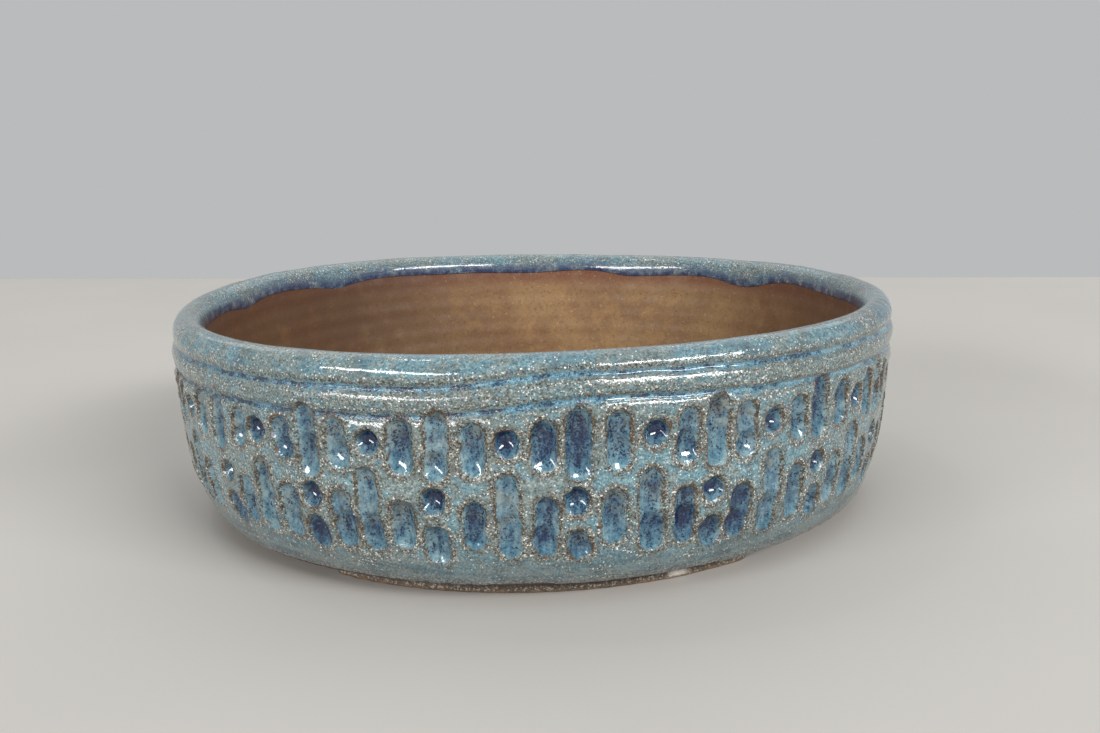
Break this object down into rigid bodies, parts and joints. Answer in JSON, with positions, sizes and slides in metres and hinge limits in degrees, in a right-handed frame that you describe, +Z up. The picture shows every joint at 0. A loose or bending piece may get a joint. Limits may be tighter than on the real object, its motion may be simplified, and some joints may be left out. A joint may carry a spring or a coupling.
{
  "type": "round bonsai pot",
  "caption": "Low round stoneware bonsai pot with a rounded rim, scored lines, a wall carved with upright gouges in interlocking rows, a drained floor and long low feet.",
  "frame": {"origin": "on the surface the pot stands on, under the centre of the pot", "axes": "+Z up along the pot's axis, -Y towards the front foot and the viewer, +X to the viewer's right"},
  "size_m": [0.208, 0.208, 0.059],
  "materials": {
    "glazed_stoneware": "gloss",
    "bare_stoneware": "matte"
  },
  "bodies": {
    "root": {"pot_body": "glazed_stoneware", "foot_front": "bare_stoneware", "foot_rear_right": "bare_stoneware", "foot_rear_left": "bare_stoneware"}
  },
  "joints": []
}
